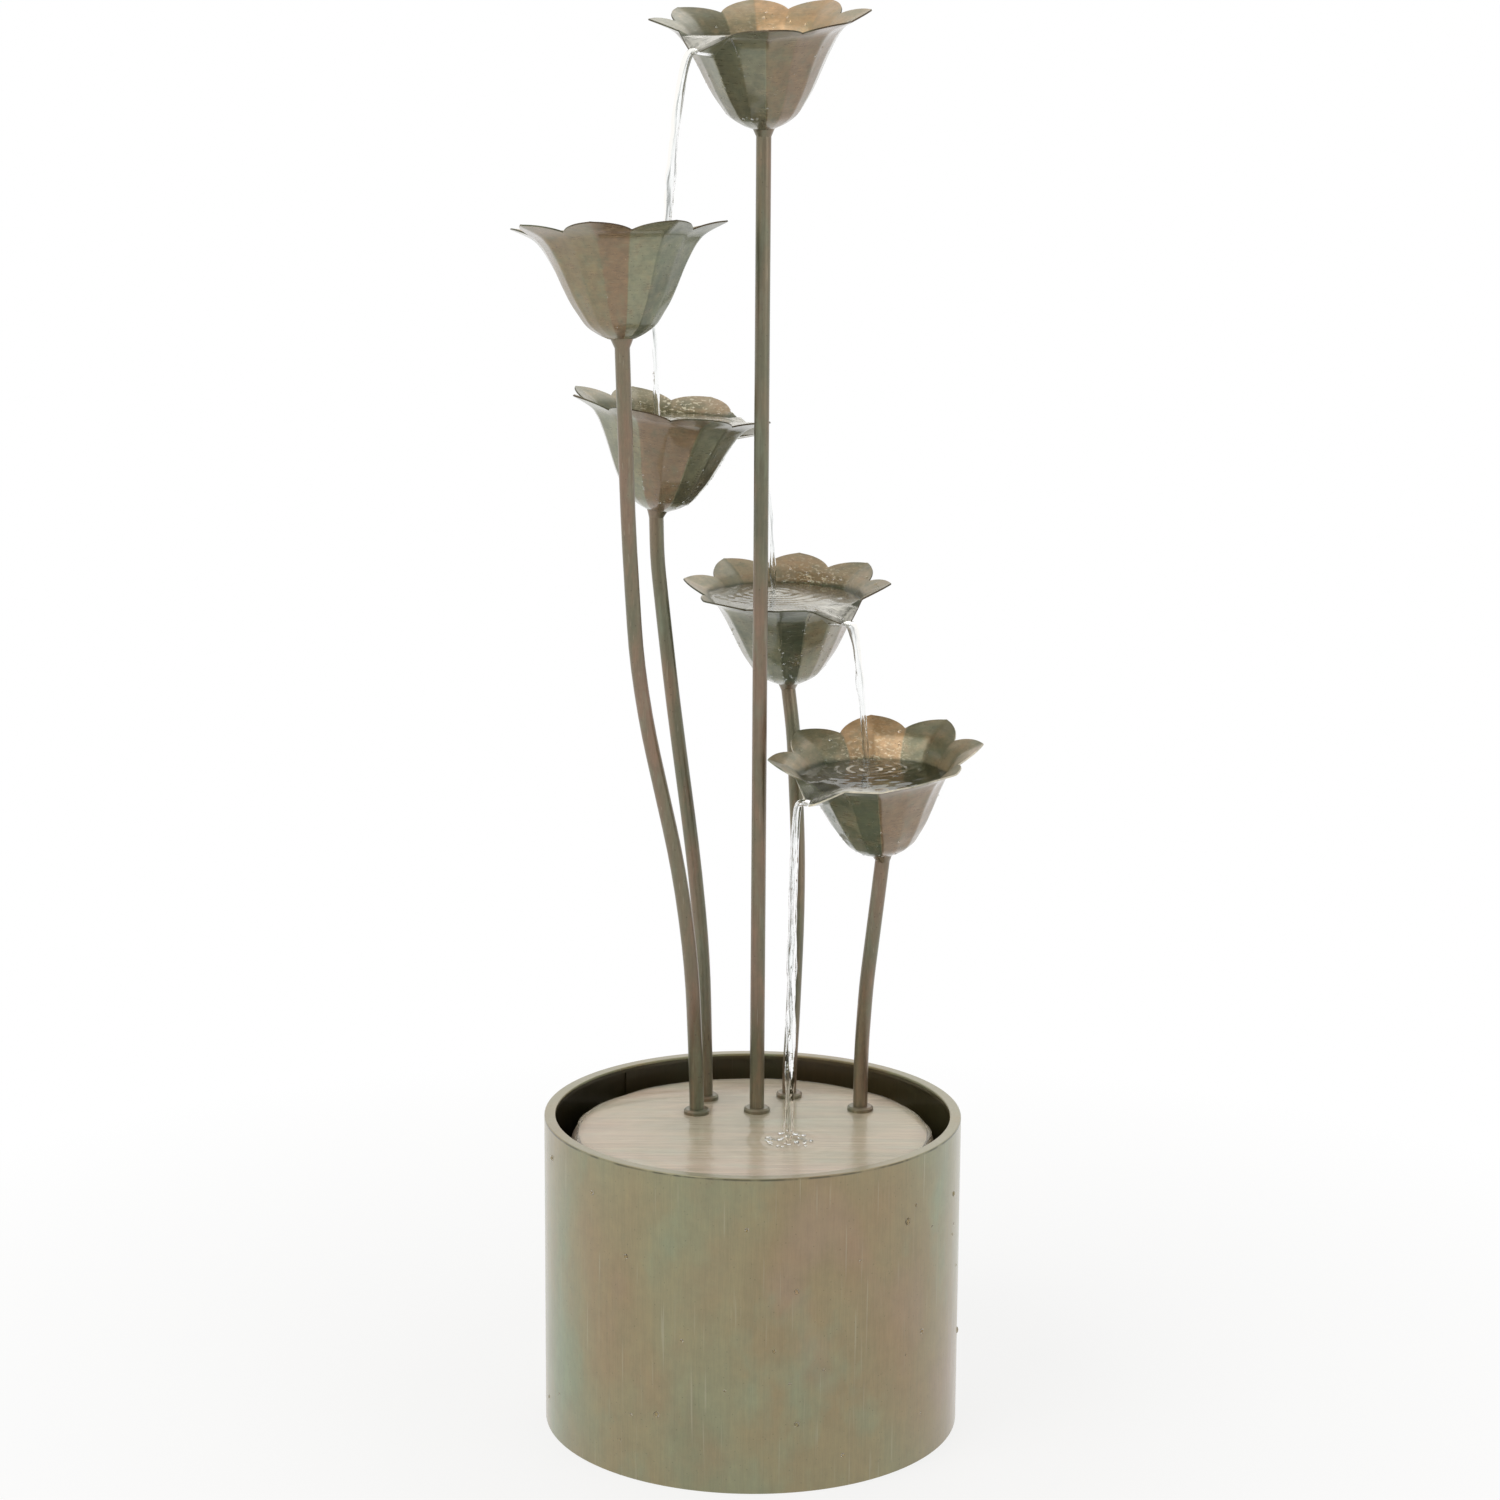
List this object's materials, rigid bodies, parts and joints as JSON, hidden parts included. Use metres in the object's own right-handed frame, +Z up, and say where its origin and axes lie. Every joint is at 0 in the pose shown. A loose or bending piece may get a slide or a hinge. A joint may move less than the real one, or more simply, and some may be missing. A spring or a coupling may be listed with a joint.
{
  "type": "tiered garden fountain",
  "caption": "Free-standing metal fountain: flower-shaped cups on slim curved stems spill water from one to the next above a round drum basin with a sunken deck.",
  "frame": {"origin": "middle of the basin's lower edge, on the surface that it stands on", "axes": "+Z up along the stems; -Y is the front, where the deck shows; +X to the right seen from the front"},
  "size_m": [0.3341, 0.3526, 1.0133],
  "materials": {
    "patina_basin": "satin olive-brown patina, vertically brushed, with sage green bands",
    "patina_deck": "satin brushed beige-brown patina",
    "patina_stem": "satin brown-grey patina with green patches",
    "patina_flower": "satin taupe-brown patina with dark green facets",
    "bracket_steel": "plain sheet steel",
    "zinc_hardware": "zinc plated",
    "brass_nut": "dull brass",
    "stator_steel": "dark laminated core in potting",
    "shaft_steel": "ground",
    "pump_plastic": "black moulded",
    "impeller_plastic": "dark grey moulded",
    "dial_plastic": "grey moulded",
    "black_rubber": "matte",
    "sponge": "open-cell foam",
    "clear_hose": "milky PVC"
  },
  "bodies": {
    "basin": {"basin_wall": "patina_basin", "basin_floor": "patina_basin", "wall_seam": "patina_basin", "deck_brackets": "bracket_steel", "cord_grommet": "black_rubber", "pump_housing": "pump_plastic", "pump_stator": "stator_steel", "pump_back_plate": "pump_plastic", "cord_gland": "black_rubber", "pump_outlet": "pump_plastic", "volute_cover": "pump_plastic", "shaft_bushes": "black_rubber", "impeller_shaft": "shaft_steel", "suction_cups": "black_rubber"},
    "impeller": {"impeller": "impeller_plastic"},
    "intake_cover": {"intake_cover": "pump_plastic", "filter_sponge": "sponge"},
    "flow_dial": {"flow_dial": "dial_plastic"},
    "deck": {"deck_plate": "patina_deck", "foot_collars": "patina_stem", "deck_washers": "zinc_hardware", "deck_nuts": "zinc_hardware", "supply_hose": "clear_hose", "hose_clamp": "zinc_hardware", "cup_ferrules": "patina_stem", "cup_seals": "black_rubber", "cup_nuts": "brass_nut", "stem_1": "patina_stem", "stem_2": "patina_stem", "stem_3": "patina_stem", "stem_4": "patina_stem", "stem_5": "patina_stem", "cup_1": "patina_flower", "cup_2": "patina_flower", "cup_3": "patina_flower", "cup_4": "patina_flower", "cup_5": "patina_flower"}
  },
  "joints": [
    {"name": "impeller_spin", "type": "hinge", "parent": "basin", "child": "impeller", "pos_m": [0.003, 0.045, 0.0305], "axis": [0, -1, 0], "continuous": true},
    {"name": "cover_slide", "type": "slide", "parent": "basin", "child": "intake_cover", "axis": [0, -1, 0], "range_m": [0, 0.04]},
    {"name": "dial_turn", "type": "hinge", "parent": "intake_cover", "child": "flow_dial", "pos_m": [0.003, 0.012, 0.0305], "axis": [0, -1, 0], "range_deg": [-60, 60]},
    {"name": "deck_lift", "type": "slide", "parent": "basin", "child": "deck", "axis": [0, 0, 1], "range_m": [0, 0.15]}
  ]
}
